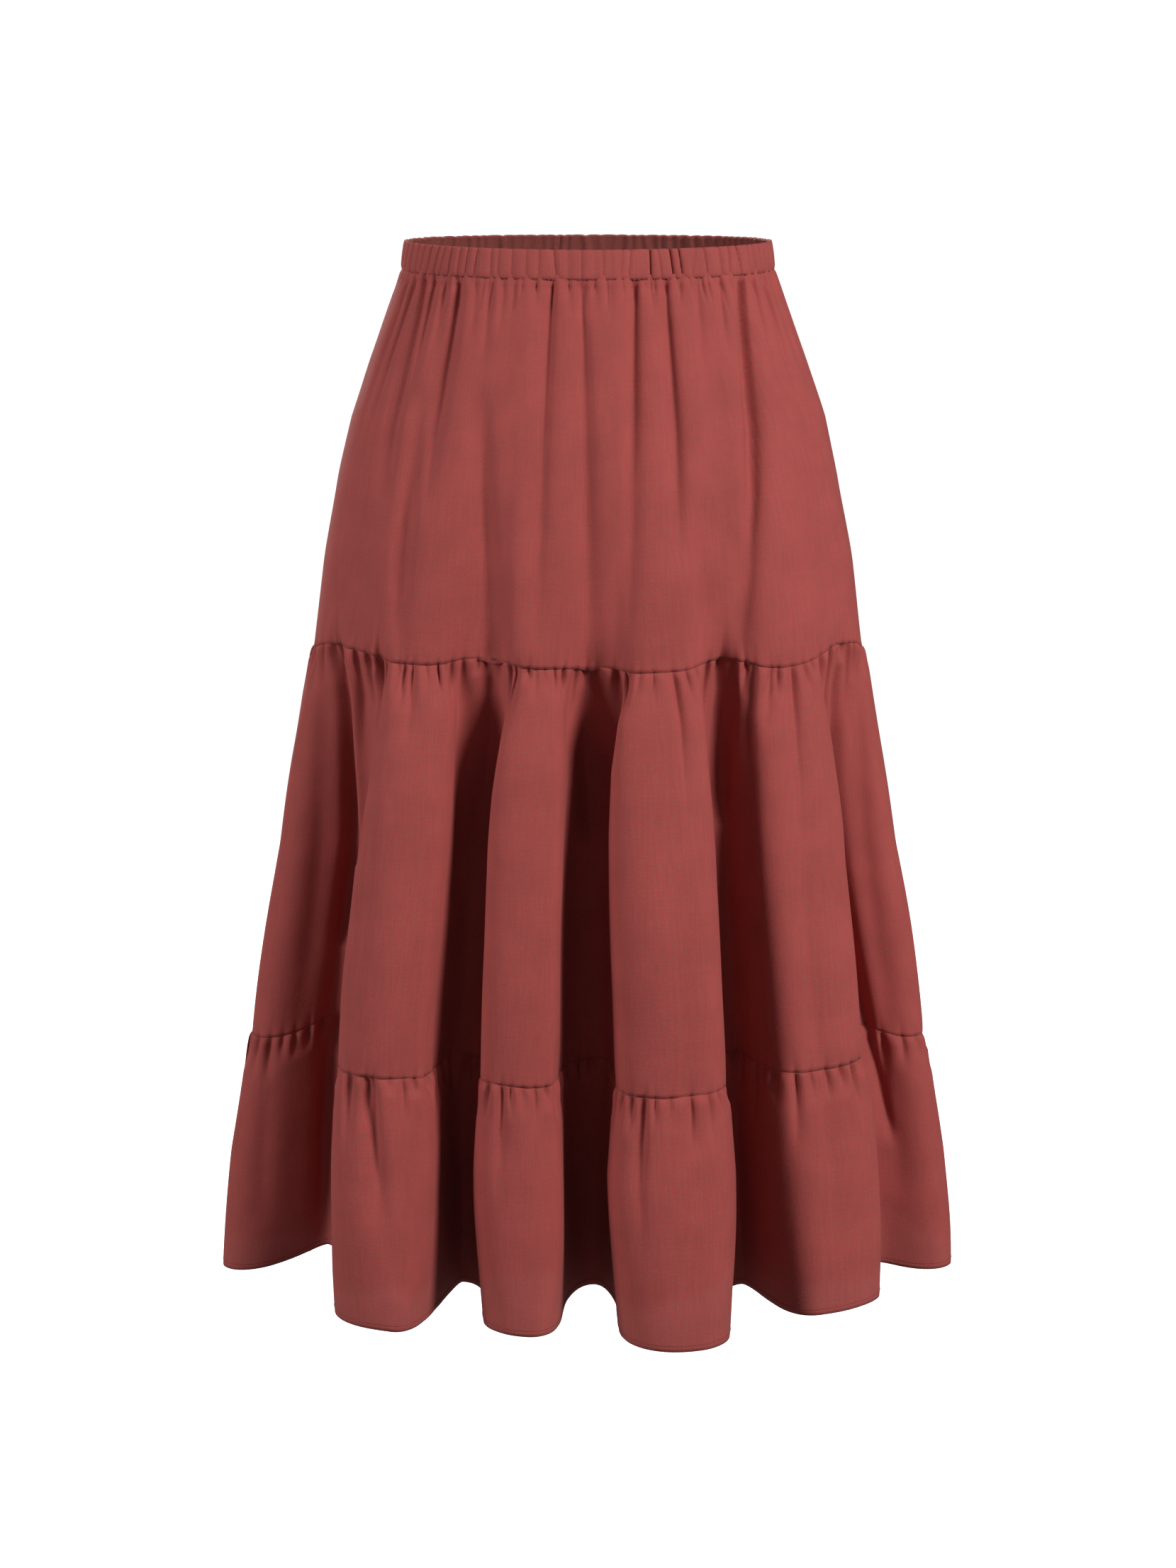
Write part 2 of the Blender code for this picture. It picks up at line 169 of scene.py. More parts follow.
# narrower gathers that spring from the band: reach is the level where each ends
BandGather = namedtuple("BandGather", "upper lower reach depth width lean")
BAND_GATHERS = (
    BandGather(-71, -69, 0.45, 1.8, 2.6, 0.3), BandGather(-66, -63, 0.50, 2.2, 2.8, 0.4),
    BandGather(-60, -51, 0.60, 2.8, 2.8, 0.4), BandGather(-54, -50, 0.36, 2.4, 2.8, 0.5),
    BandGather(-48, -46, 0.24, 1.8, 2.4, 0.4), BandGather(-43, -38, 0.60, 3.0, 3.2, 0.5),
    BandGather(-36, -33, 0.20, 1.4, 2.4, 0.2), BandGather(-31, -28, 0.26, 1.6, 2.6, 0.0),
    BandGather(-26, -25, 0.16, 1.6, 2.2, 0.3), BandGather(-22, -22, 0.12, 1.4, 2.0, -0.2),
    BandGather(-16, -15, 0.10, 1.2, 2.0, 0.0), BandGather(-10.5, -10.6, 1.00, 2.6, 3.4, -0.3),
    BandGather(-6, -5, 0.10, 1.0, 2.0, 0.0), BandGather(-2.2, 1, 1.05, 2.6, 3.4, 0.2),
    BandGather(2, 2, 0.12, 1.0, 2.2, 0.0), BandGather(7, 7, 0.12, 1.2, 2.0, 0.0),
    BandGather(14.8, 7, 1.05, 3.0, 3.6, -0.2), BandGather(19, 19, 0.10, 2.2, 2.2, 0.0),
    BandGather(24.5, 19.5, 0.75, 2.8, 3.4, -0.4), BandGather(29, 27, 0.09, 1.6, 2.0, 0.0),
    BandGather(35, 30, 0.36, 1.6, 3.0, 0.2), BandGather(44, 40, 0.20, 1.8, 2.2, -0.3),
    BandGather(55.6, 33, 1.00, 4.2, 3.4, -0.55), BandGather(61, 55, 0.30, 1.8, 2.6, -0.3),
    BandGather(68, 64, 0.44, 2.2, 3.0, -0.4), BandGather(76, 73, 0.30, 1.6, 2.6, -0.2),
    BandGather(84, 83, 0.40, 2.0, 2.8, 0.3), BandGather(97, 96, 0.28, 1.8, 2.6, -0.3),
    BandGather(109, 110, 0.50, 2.6, 3.0, 0.4), BandGather(119, 120, 0.24, 1.6, 2.4, 0.0),
    BandGather(131, 134, 0.55, 2.6, 3.2, -0.4), BandGather(139, 141, 0.20, 1.6, 2.4, 0.2),
    BandGather(150, 152, 0.40, 2.2, 2.8, 0.3), BandGather(161, 160, 0.16, 1.4, 2.2, 0.0),
    BandGather(170, 172, 0.62, 2.8, 3.2, -0.3), BandGather(179, 179, 0.18, 1.6, 2.4, 0.2),
    BandGather(188, 186, 0.46, 2.2, 2.8, 0.4), BandGather(199, 201, 0.22, 1.6, 2.4, 0.0),
    BandGather(208, 206, 0.60, 2.8, 3.2, 0.3), BandGather(219, 220, 0.28, 1.8, 2.6, -0.3),
    BandGather(228, 226, 0.44, 2.2, 2.8, 0.4), BandGather(241, 243, 0.34, 2.0, 2.8, -0.3),
    BandGather(259, 260, 0.42, 2.0, 2.8, 0.3), BandGather(267, 268, 0.26, 1.6, 2.4, 0.0),
)

# gathers at the two lower seams: place is counted in rows of FOLDS, and reach is in millimetres
Gather = namedtuple("Gather", "place reach depth width lean", defaults=(0.0,))
BAND_GATHER_DEPTH = 1.7  # how much deeper and narrower than its row every gather under the band is
BAND_GATHER_WIDTH = 0.8
GATHER_DEPTH = 1.9  # the same for the two lower seams
GATHER_WIDTH = 0.68
SHORT_GATHER = 2.5  # gathers up to this wide are narrowed less
SHORT_GATHER_WIDTH = GATHER_WIDTH * 1.3
SHORT_GATHERS = {2: 126, 3: 216}  # how many places for short gathers each seam has
SHORT_GATHER_SEEDS = {2: 42, 3: 43}
PUCKER_SEED = 11
EVENING = 0.4  # the share of a row's mean pull that the cloth gives back, so that gathers don't shrink it
MIDDLE_GATHERS = (
    Gather(0.30, 40, 2.8, 3.4, 0.4), Gather(0.65, 30, 3.0, 3.4, 0.3), Gather(1.20, 90, 4.2, 4.2, 0.5),
    Gather(1.36, 60, 3.8, 3.4, 0.5), Gather(1.58, 130, 5.0, 4.4, 0.6), Gather(1.79, 60, 3.4, 3.6, 0.4),
    Gather(1.93, 24, 2.6, 2.8), Gather(2.05, 60, 3.4, 3.6, 0.3), Gather(2.18, 25, 2.4, 2.8),
    Gather(2.41, 20, 2.2, 2.8), Gather(2.71, 60, 3.4, 3.4, 0.3), Gather(3.00, 30, 2.6, 3.0, 0.3),
    Gather(3.22, 26, 2.6, 3.0), Gather(3.52, 90, 4.2, 4.0, 0.5), Gather(3.75, 50, 3.4, 3.6, 0.4),
    Gather(4.03, 26, 2.4, 3.0), Gather(4.13, 18, 2.2, 2.6), Gather(4.76, 80, 4.0, 4.4, -0.3),
    Gather(4.98, 40, 3.0, 3.4, -0.2), Gather(5.26, 110, 4.6, 4.6, 0.4), Gather(5.52, 70, 4.2, 3.8, 0.5),
    Gather(5.66, 30, 2.8, 3.0), Gather(5.79, 20, 2.4, 2.8), Gather(5.92, 28, 2.6, 2.8),
    Gather(6.09, 120, 3.4, 4.2, 0.2), Gather(6.24, 30, 3.0, 3.0), Gather(6.43, 22, 2.4, 2.8),
    Gather(6.81, 70, 4.2, 3.6, -0.5), Gather(7.15, 60, 3.8, 4.0, -0.4), Gather(7.52, 80, 4.0, 4.4, -0.3),
    Gather(7.79, 50, 3.4, 3.4), Gather(8.03, 110, 3.2, 4.4, -0.2), Gather(8.14, 24, 2.4, 2.8),
    Gather(8.50, 60, 4.0, 3.4, -0.5), Gather(8.82, 110, 4.6, 4.2, -0.5), Gather(9.12, 60, 3.6, 3.6, -0.3),
    Gather(9.55, 34, 2.8, 3.2), Gather(9.80, 26, 2.6, 3.0),
    Gather(10.3, 40, 3.0, 3.4), Gather(10.8, 30, 2.8, 3.2), Gather(11.3, 80, 3.8, 4.0, 0.4),
    Gather(11.8, 26, 2.6, 3.0), Gather(12.2, 80, 3.8, 4.0, -0.3), Gather(12.7, 40, 3.0, 3.2),
    Gather(13.3, 60, 3.8, 3.8, 0.3), Gather(13.8, 30, 2.8, 3.0), Gather(14.2, 100, 4.2, 4.2, 0.3),
    Gather(14.7, 26, 2.6, 3.0), Gather(15.3, 70, 4.0, 3.8, -0.4), Gather(15.8, 30, 2.8, 3.0),
    Gather(16.2, 90, 3.8, 4.2, 0.2), Gather(16.7, 26, 2.6, 3.0), Gather(17.2, 70, 4.0, 4.0, 0.4),
    Gather(17.8, 30, 2.8, 3.0), Gather(18.1, 110, 4.2, 4.2, -0.3), Gather(18.6, 28, 2.6, 3.0),
    Gather(19.3, 60, 3.8, 3.6, -0.4), Gather(19.8, 70, 3.6, 4.0, 0.3), Gather(20.2, 30, 2.8, 3.0),
    Gather(20.8, 60, 3.6, 3.8, 0.3), Gather(21.4, 30, 2.8, 3.0), Gather(21.8, 40, 3.0, 3.4),
)
RUFFLE_GATHERS = (
    Gather(0.08, 26, 2.6, 3.2), Gather(0.30, 36, 3.0, 3.6, 0.3), Gather(0.41, 22, 2.4, 2.8),
    Gather(1.30, 40, 3.4, 3.6, 0.4), Gather(1.60, 150, 4.6, 4.4, 0.6), Gather(1.86, 60, 4.0, 4.0, 0.4),
    Gather(1.98, 120, 4.2, 4.6, -0.2), Gather(2.18, 36, 3.0, 3.2), Gather(2.60, 24, 2.6, 3.0),
    Gather(3.60, 30, 3.0, 3.2, 0.4), Gather(3.88, 90, 3.8, 4.2, 0.3), Gather(4.01, 24, 2.6, 3.0),
    Gather(4.11, 34, 2.8, 3.0), Gather(4.40, 24, 2.6, 3.0), Gather(5.60, 34, 3.2, 3.4, 0.4),
    Gather(5.83, 120, 4.4, 4.6, -0.3), Gather(5.94, 24, 2.4, 3.0), Gather(6.03, 44, 3.2, 3.2),
    Gather(6.14, 40, 3.0, 3.2, 0.3), Gather(7.17, 26, 3.0, 3.0), Gather(7.40, 50, 3.8, 3.6, 0.3),
    Gather(7.71, 26, 2.8, 3.0), Gather(7.88, 60, 4.0, 3.4, 0.3), Gather(8.01, 24, 2.4, 3.0),
    Gather(8.40, 24, 2.6, 3.0), Gather(9.05, 40, 3.2, 3.4, -0.3), Gather(9.39, 60, 3.8, 3.8, 0.2),
    Gather(9.60, 26, 2.8, 3.0), Gather(9.76, 22, 2.6, 3.0),
    Gather(10.4, 30, 2.8, 3.2), Gather(11.3, 50, 3.6, 3.6, 0.3), Gather(11.7, 26, 2.8, 3.0),
    Gather(12.0, 90, 4.0, 4.2, 0.3), Gather(12.3, 30, 2.8, 3.0), Gather(13.3, 40, 3.4, 3.4, -0.3),
    Gather(13.9, 80, 4.0, 4.2, 0.2), Gather(14.2, 26, 2.8, 3.0), Gather(15.4, 40, 3.4, 3.4, -0.4),
    Gather(15.7, 30, 2.8, 3.2), Gather(16.0, 100, 4.2, 4.4, 0.2), Gather(16.3, 26, 2.8, 3.0),
    Gather(17.5, 50, 3.6, 3.6, 0.4), Gather(17.8, 40, 3.0, 3.2), Gather(18.1, 110, 4.2, 4.6, -0.2),
    Gather(18.3, 26, 2.8, 3.0), Gather(19.4, 40, 3.4, 3.4, -0.3), Gather(19.7, 30, 2.8, 3.2),
    Gather(20.1, 70, 3.8, 4.0, 0.3), Gather(20.4, 26, 2.8, 3.0), Gather(21.5, 36, 3.0, 3.4),
)
# long soft folds down the two lower tiers: the lower its fade, the sooner a fold is at its full depth
LongFold = namedtuple("LongFold", "upper lower start end depth width lean fade", defaults=(0.0, 0.6))
LONG_FOLDS = (
    LongFold(0.96, 0.84, 0.98, 1.80, 12, 6, 0.4, 0.4), LongFold(1.14, 1.18, 0.98, 1.80, -8, 7, 0.0, 0.4),
    LongFold(0.86, 0.84, 1.55, 2.98, 10, 8, 0.3), LongFold(1.62, 1.70, 0.97, 1.50, 8, 3.5, 0.6, 0.4),
    LongFold(3.10, 3.02, 0.97, 1.50, 10, 9, 0.4, 0.4), LongFold(4.90, 5.00, 0.96, 1.45, 15, 10, 0.3, 0.4),
    LongFold(6.98, 7.00, 0.96, 1.40, 15, 7, -0.4, 0.4), LongFold(8.93, 9.38, 0.95, 2.45, 14, 5.5, -0.3, 0.5),
    LongFold(2.78, 2.74, 0.98, 1.60, 5, 12, 0.0, 0.5), LongFold(0.50, 0.55, 1.05, 2.00, 3.0, 10),
    LongFold(1.50, 1.60, 1.02, 1.75, 3.5, 6, 0.5),
    LongFold(1.83, 1.85, 1.08, 2.00, 3.0, 8), LongFold(2.21, 2.35, 1.05, 2.95, -2.6, 9, 0.4),
    LongFold(4.22, 4.26, 1.05, 2.90, -2.6, 9, 0.4), LongFold(4.85, 4.95, 1.02, 1.45, 3.2, 7),
    LongFold(5.34, 5.20, 1.02, 1.55, 4.0, 7), LongFold(5.99, 6.02, 1.08, 2.50, 2.6, 10),
    LongFold(6.35, 6.40, 1.40, 2.80, -1.8, 9), LongFold(7.60, 7.55, 1.05, 2.10, 3.4, 9, -0.3),
    LongFold(8.03, 8.06, 1.05, 2.80, 2.8, 9), LongFold(8.30, 8.30, 1.30, 2.90, -1.8, 10),
    LongFold(9.45, 9.50, 1.05, 2.00, 2.8, 9), LongFold(0.30, 0.36, 2.03, 2.80, 2.6, 9),
    LongFold(1.95, 2.06, 2.03, 2.85, 3.4, 8), LongFold(9.50, 9.40, 2.04, 2.70, 2.4, 9),
    LongFold(12.1, 12.0, 1.05, 2.60, 3.0, 9), LongFold(13.8, 14.1, 1.05, 2.00, 3.2, 8, 0.3),
    LongFold(14.3, 14.3, 1.30, 2.90, -2.4, 9), LongFold(15.6, 15.7, 1.05, 1.80, 3.4, 8),
    LongFold(16.2, 16.1, 1.10, 2.70, 3.0, 9), LongFold(17.7, 17.6, 1.05, 1.90, 3.2, 8, 0.3),
    LongFold(18.2, 18.3, 1.05, 2.90, -2.4, 9), LongFold(19.8, 20.0, 1.05, 2.40, 3.0, 9),
    LongFold(20.6, 20.5, 1.10, 2.00, 2.8, 9), LongFold(21.5, 21.5, 1.20, 2.70, 2.6, 10),
)

# grooves of the gathered band: at is in degrees round the waist, and slant is how many it moves on its way
# down
Rib = namedtuple("Rib", "at slant depth width")
RIB_DEPTH = 1.6  # how much deeper and wider than its row every groove is
RIB_WIDTH = 1.4
RIB_SEED = 7  # for the grooves at the back
FRONT_RIBS = (
    Rib(-86, 1, 0.8, 1.1), Rib(-80, 1, 0.9, 1.0), Rib(-75, 2, 0.8, 1.0), Rib(-70, 2, 1.0, 1.1),
    Rib(-65, 2, 0.9, 0.9), Rib(-61, 2, 0.8, 0.9), Rib(-57, 2, 1.0, 1.0), Rib(-53, 2, 0.9, 0.9),
    Rib(-50, 2, 0.7, 0.9), Rib(-46.5, 1, 1.0, 1.1), Rib(-42.5, 1, 0.8, 1.0), Rib(-39.5, 1, 0.9, 0.9),
    Rib(-36, 1, 1.0, 1.1), Rib(-30.5, 0, 0.9, 1.2), Rib(-28, 0, 0.5, 0.9), Rib(-23.5, 0, 0.9, 1.2),
    Rib(-19, 0, 0.7, 1.3), Rib(-15, 0, 0.9, 1.2), Rib(-10, -1, 1.3, 1.3), Rib(-6, 0, 0.6, 1.3),
    Rib(-2, 0, 1.0, 1.2), Rib(2, 0, 0.6, 1.3), Rib(4.5, 0, 0.9, 1.1), Rib(7, 0, 0.5, 1.2),
    Rib(10, 1, 0.7, 1.1), Rib(12.5, 1, 0.9, 1.1), Rib(19, 0, 1.8, 1.0), Rib(22, -1, 0.7, 0.9),
    Rib(26, -1, 1.9, 1.0), Rib(29, -1, 1.5, 0.9), Rib(33.5, 2, 0.5, 1.2), Rib(38, -1, 0.9, 1.0),
    Rib(44, -1, 0.8, 1.0), Rib(48, 0, 0.9, 1.0), Rib(53, -2, 1.3, 1.0), Rib(58.5, -1, 0.9, 0.9),
    Rib(62, -1, 1.0, 1.0), Rib(67, -1, 1.1, 1.0), Rib(72, -1, 0.8, 0.9), Rib(77, 0, 0.9, 1.0),
    Rib(83, 0, 0.8, 1.0), Rib(88, 0, 0.9, 1.0),
)

SLANT_BEND = 0.7  # below 1, the hip tier's creases slant most near the band
# how far the hip tier stands from the skirt's axis, to turn an angle into a length
HipRadius = namedtuple("HipRadius", "level radius")
HIP_RADII = (HipRadius(0.0, 0.115), HipRadius(0.5, 0.150), HipRadius(1.0, 0.160))

# ---- the form of the cloth ---------------------------------------------------------------------------------


def smooth_step(value):
    value = np.clip(value, 0.0, 1.0)
    return value * value * (3.0 - 2.0 * value)


def column_of(field):
    return np.array([getattr(fold, field) for fold in FOLDS], float)


def between(first, second, third, level):
    """A fold's value down the skirt, from its values at the two gathered seams and at the hem."""
    upper = 1.0 - (1.0 - np.clip(level - 1.0, 0.0, 1.0)) ** SPREAD[0]
    lower = 1.0 - (1.0 - np.clip(level - 2.0, 0.0, 1.0)) ** SPREAD[1]
    return first + (second - first) * upper + (third - second) * lower


def folds_at(turn, level):
    """Angle in radians and out in metres: a row for each level, a column for each place round the skirt."""
    level = np.asarray(level, float).reshape(-1, 1)
    turn = np.asarray(turn, float)
    angles = between(column_of("angle_1"), column_of("angle_2"), column_of("angle_3"), level)
    waves = smooth_step((level - TIER_1_START) / (1.0 - TIER_1_START))
    outs = between(column_of("out_1") * waves, column_of("out_2"), column_of("out_3"), level)
    here = np.floor(turn).astype(int) % len(FOLDS)
    after = (here + 1) % len(FOLDS)
    step = turn - np.floor(turn)
    firm = np.interp(level, [row.level for row in FIRMNESS], [row.firm for row in FIRMNESS])
    lean = 4.0 * (column_of("wall")[here] - 0.5) * firm * step * (1.0 - step)
    steep = column_of("steep")[here] * firm
    across = step + steep * np.sin(2.0 * np.pi * step) / (2.0 * np.pi) + lean
    span = (angles[:, after] - angles[:, here]) % 360.0
    angle = np.radians(angles[:, here] + span * across)
    out = outs[:, here] + (outs[:, after] - outs[:, here]) * (1.0 - np.cos(np.pi * step)) / 2.0
    return angle, out / 1000.0


def cut_lengths(turn):
    """Cloth length of each tier round the skirt: three rows."""
    angle, _ = folds_at(turn, 1.0)
    here = np.floor(turn).astype(int) % len(FOLDS)
    after = (here + 1) % len(FOLDS)
    rise = (1.0 - np.cos(np.pi * (turn - np.floor(turn)))) / 2.0
    plain = (TIER_1_CUT + TIER_1_HIP * np.sin(angle[0]) ** 2, TIER_2_CUT, TIER_3_CUT)
    lengths = []
    for tier_cut, field in zip(plain, ("give_1", "give_2", "give_3")):
        give = column_of(field) / 1000.0
        lengths.append(tier_cut + give[here] + (give[after] - give[here]) * rise)
    return np.stack(lengths)


def ring(angle, out, level):
    """Points at an angle round the figure, pushed out from its ring at that level."""
    levels = [section.level for section in SECTIONS]
    half_width = np.interp(level, levels, [section.half_width for section in SECTIONS])
    front = np.interp(level, levels, [section.front_depth for section in SECTIONS])
    back = np.interp(level, levels, [section.back_depth for section in SECTIONS])
    depth = np.where(np.cos(angle) > 0.0, front, back)
    normal_x = np.sin(angle) / half_width
    normal_y = -np.cos(angle) / depth
    length = np.hypot(normal_x, normal_y)
    x = half_width * np.sin(angle) + out * normal_x / length
    y = -depth * np.cos(angle) + out * normal_y / length
    return x, y


def off_crease(angle, level, crease, along):
    """Millimetres of cloth from a crease of the hip tier: along is how far down the crease each row lies."""
    radius = np.interp(level, [row.level for row in HIP_RADII], [row.radius for row in HIP_RADII])
    centre = np.radians(crease.upper + (crease.lower - crease.upper) * along**SLANT_BEND)
    return ((angle - centre + np.pi) % (2.0 * np.pi) - np.pi) * radius * 1000.0


def hip_fold_depth(angle, level):
    """How far the hip tier's own soft folds pull the cloth in."""
    total = np.zeros(np.broadcast(angle, level).shape)
    for crease in HIP_FOLDS:
        along = np.clip((level - crease.start) / (crease.end - crease.start), 0.0, 1.0)
        fade = np.sin(np.pi * along) ** 0.6
        away = off_crease(angle, level, crease, along) / crease.width
        total += crease.depth * fade * np.exp(-(away**2))
    return total / 1000.0


def plan(turn, level):
    """Where the cloth stands seen from above."""
    level = np.asarray(level, float).reshape(-1, 1)
    angle, out = folds_at(turn, level)
    out = out - np.where(level < 1.0, hip_fold_depth(angle, np.minimum(level, 1.0)), 0.0)
    return ring(angle, out, level)


def band_top(angle):
    """Height of the band's top edge, which tips up to the back and over the hips."""
    return (
        BAND_TOP_FRONT
        + BAND_TOP_RISE * (1.0 - np.cos(angle)) / 2.0
        + BAND_TOP_SIDE * np.sin(angle) ** 2
    )


def cloth(turns, levels):
    """Points of the hanging cloth, a row for each level: each thread keeps the length that it was cut to."""
    steps = 60
    fine = np.linspace(0.0, 3.0, 3 * steps + 1)
    x, y = plan(turns, fine)
    tier = np.repeat([0, 1, 2], steps)
    length = cut_lengths(turns)[tier] / steps
    travel = np.hypot(np.diff(x, axis=0), np.diff(y, axis=0))
    fall = np.sqrt(np.maximum(length**2 - travel**2, (0.3 * length) ** 2))
    start = band_top(folds_at(turns, 0.0)[0]) - BAND_HEIGHT
    heights = np.concatenate([start, start - np.cumsum(fall, axis=0)])
    x, y = plan(turns, levels)
    z = np.stack([np.interp(levels, fine, column) for column in heights.T], axis=1)
    return np.stack([x, y, z], axis=-1)


def even_turns(first, last, columns, levels):
    """Places round the skirt for a grid's columns: evenly far apart, on the average of some levels."""
    fine = np.linspace(first, last, 4000)
    x, y = plan(fine, levels)
    step = np.hypot(np.diff(x, axis=1), np.diff(y, axis=1))
    share = (step / step.sum(axis=1, keepdims=True)).mean(axis=0)
    along = np.concatenate([[0.0], np.cumsum(share)])
    return np.interp(np.linspace(0.0, along[-1], columns + 1), along, fine)


def across_cloth(points):
    """Distance along each row of points, from the first column."""
    step = np.linalg.norm(np.diff(points, axis=1), axis=-1)
    return np.concatenate([np.zeros((len(points), 1)), np.cumsum(step, axis=1)], axis=1)


def normals_of(points):
    across = np.gradient(points, axis=1)
    down = np.gradient(points, axis=0)
    normal = np.cross(down, across)
    return normal / np.linalg.norm(normal, axis=-1, keepdims=True)


# ---- gathers and creases -----------------------------------------------------------------------------------


def small_gathers(long_ones, level, count, seed):
    """The short gathers between the long ones at the seam of a level: even places, each a little off."""
    dice = random.Random(seed)
    places = even_turns(0.0, len(FOLDS), count, (level,))
    steps = np.arange(count + 1)
    taken = np.interp([gather.place for gather in long_ones], places, steps)
    found = []
    for step in range(count):
        here = step + dice.uniform(-0.25, 0.25)
        gather = Gather(
            place=float(np.interp(here, steps, places)),
            reach=dice.uniform(10, 38),
            depth=dice.uniform(2.8, 5.0),
            width=dice.uniform(1.8, SHORT_GATHER),
            lean=dice.uniform(-0.4, 0.4),
        )
        if np.abs(taken - here).min() > 0.55:
            found.append(gather)
    return found


def puckers(seed):
    """The short puckers right under the band's stitches, all round."""
    dice = random.Random(seed)
    at = -90.0
    found = []
    while at < 270.0:
        found.append(
            BandGather(
                upper=at,
                lower=at,
                reach=dice.choice((0.03, 0.04, 0.05, 0.07, 0.10)),
                depth=dice.uniform(0.6, 1.5),
                width=dice.uniform(0.9, 1.4),
                lean=dice.uniform(-0.4, 0.4),
            )
        )
        at += dice.uniform(2.0, 5.0)
    return tuple(found)


PUCKERS = puckers(PUCKER_SEED)


def trough(offset, width, lean):
    """Trough across a crease, from 0 to 1: narrow at its bottom, and wider on the side that lean says."""
    side = np.where(offset > 0.0, 1.0 + lean, 1.0 - lean)
    away = np.abs(offset) / (width * side)
    return np.exp(-(np.hypot(away, 0.25) - 0.25) ** 1.3)


def gather_depth(gathers, turns, across, down):
    """How far the gathers pull the cloth in: down is the cloth length below the seam of each row."""
    total = np.zeros_like(across)
    places, reach, depth, width, lean = np.array(gathers).T
    width = width * np.where(width > SHORT_GATHER, GATHER_WIDTH, SHORT_GATHER_WIDTH)
    for row, fallen in enumerate(down):
        centres = np.interp(places, turns, across[row])
        along = np.clip(fallen * 1000.0 / reach, 0.0, 1.0)
        rise = 0.30 + 0.70 * (1.0 - np.exp(-max(fallen, 0.0) / 0.0025))
        strength = GATHER_DEPTH * depth / 1000.0 * rise * (1.0 - along) ** 1.1
        spread = width / 1000.0 * (1.0 + 1.2 * along)
        live = (strength > 1e-6) & (places >= turns[0] - 0.2) & (places <= turns[-1] + 0.2)
        offset = across[row][None, :] - centres[live][:, None]
        total[row] += (
            strength[live][:, None] * trough(offset, spread[live][:, None], lean[live][:, None])
        ).sum(0)
    return total


def fold_depth(folds, turns, across, levels):
    """How far the long folds pull the cloth in."""
    total = np.zeros_like(across)
    for fold in folds:
        if not turns[0] - 0.3 < fold.upper < turns[-1] + 0.3:
            continue
        along = (levels - fold.start) / (fold.end - fold.start)
        for row in np.flatnonzero((along > 0.0) & (along < 1.0)):
            centre = np.interp(fold.upper + (fold.lower - fold.upper) * along[row], turns, across[row])
            strength = fold.depth / 1000.0 * math.sin(math.pi * along[row]) ** fold.fade
            total[row] += strength * trough(across[row] - centre, fold.width / 1000.0, fold.lean)
    return total


def band_gather_depth(angle, level):
    """How far the gathers below the band pull the cloth in."""
    rise = 0.3 + 0.7 * smooth_step(level / 0.02)
    total = np.zeros_like(angle)
    for gather in BAND_GATHERS + PUCKERS:
        along = np.clip(level / gather.reach, 0.0, 1.0)
        strength = BAND_GATHER_DEPTH * gather.depth * (1.0 - along**1.6) * rise
        width = BAND_GATHER_WIDTH * gather.width * (1.0 + 1.1 * along)
        total += strength * trough(off_crease(angle, level, gather, along), width, gather.lean)
    return total / 1000.0


def flutter(points, size, amount):
    """Soft unevenness of the cloth, from smooth noise at its place."""
    flat = points.reshape(-1, 3)
    stretch = Vector((1.0 / size, 1.0 / size, 0.35 / size))
    values = [noise.noise(Vector(point) * stretch) for point in flat.tolist()]
    return amount * np.array(values).reshape(points.shape[:2])


# ---- meshes ------------------------------------------------------------------------------------------------


def grid_piece(name, points, cloth_places, materials, thickness):
    """A sheet: a grid laid on rows of points, with its cloth places as UVs and a right and a wrong side."""
    rows, columns = points.shape[:2]
    build = bmesh.new()
    bmesh.ops.create_grid(build, x_segments=columns - 1, y_segments=rows - 1, size=0.5)
    mesh = bpy.data.meshes.new(name)
    build.to_mesh(mesh)
    build.free()
    flat = np.empty(len(mesh.vertices) * 3, np.float32)
    mesh.vertices.foreach_get("co", flat)
    flat = flat.reshape(-1, 3)
    column = np.rint((flat[:, 0] + 0.5) * (columns - 1)).astype(int)
    row = np.rint((0.5 - flat[:, 1]) * (rows - 1)).astype(int)
    mesh.vertices.foreach_set("co", points[row, column].astype(np.float32).ravel())
    corner = np.empty(len(mesh.loops), np.int32)
    mesh.loops.foreach_get("vertex_index", corner)
    layer = mesh.uv_layers.new(name="cloth")
    layer.data.foreach_set("uv", cloth_places[row, column][corner].astype(np.float32).ravel())
    mesh.update()
    mesh.shade_smooth()
    for material in materials:
        mesh.materials.append(material)
    piece = bpy.data.objects.new(name, mesh)
    bpy.context.scene.collection.objects.link(piece)
    wall = piece.modifiers.new("thin wall", "SOLIDIFY")
    wall.thickness = thickness
    wall.offset = 0.0
    wall.material_offset = 1
    return piece


def tier_rows(count, top_crowd, foot_crowd):
    """A tier's rows, from 0 at its top to 1 at its foot, closer together near both seams."""
    fine = np.linspace(0.0, 1.0, 600)
    density = 1.0 + top_crowd * np.exp(-fine / 0.11) + foot_crowd * np.exp(-(1.0 - fine) / 0.05)
    share = np.concatenate([[0.0], np.cumsum(density[1:])])
    return np.interp(np.linspace(0.0, share[-1], count + 1), share, fine)


def cut_of(number):
    return (TIER_1_CUT, TIER_2_CUT, TIER_3_CUT)[number - 1]


def gathers_of(number):
    """All gathers at the top of the middle tier or of the ruffle."""
    table = {2: MIDDLE_GATHERS, 3: RUFFLE_GATHERS}[number]
    return list(table) + small_gathers(
        table, number - 1.0, SHORT_GATHERS[number], SHORT_GATHER_SEEDS[number]
    )


def evened(pulled):
    return pulled - EVENING * pulled.mean(axis=1, keepdims=True)


